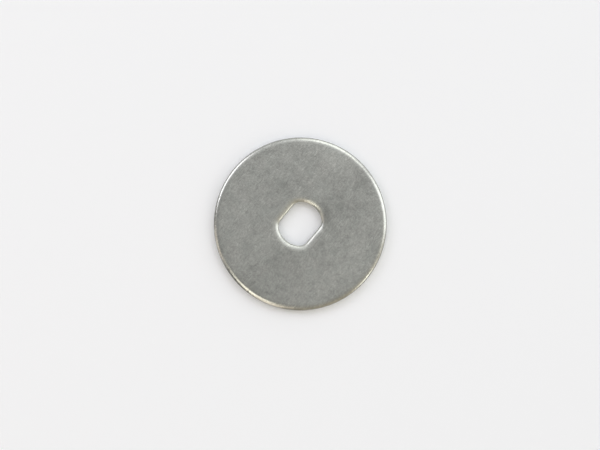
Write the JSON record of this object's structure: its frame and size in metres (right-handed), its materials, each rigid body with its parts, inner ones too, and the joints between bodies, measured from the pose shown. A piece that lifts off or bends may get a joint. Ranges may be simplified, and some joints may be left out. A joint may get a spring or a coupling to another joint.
{
  "type": "drag washer",
  "caption": "Flat stamped steel drag washer with a double-D hole that keys it to a flatted shaft.",
  "frame": {"origin": "centre of the bottom face, on the axis of the double-D hole", "axes": "+Z along the hole's axis, towards the face with the rolled-over edges; the hole's two flats run along X and face along Y"},
  "size_m": [0.0164, 0.0164, 0.0008],
  "materials": {
    "stainless_steel": "satin, mill-rolled and tumbled"
  },
  "bodies": {
    "root": {"drag_washer": "stainless_steel"}
  },
  "joints": []
}
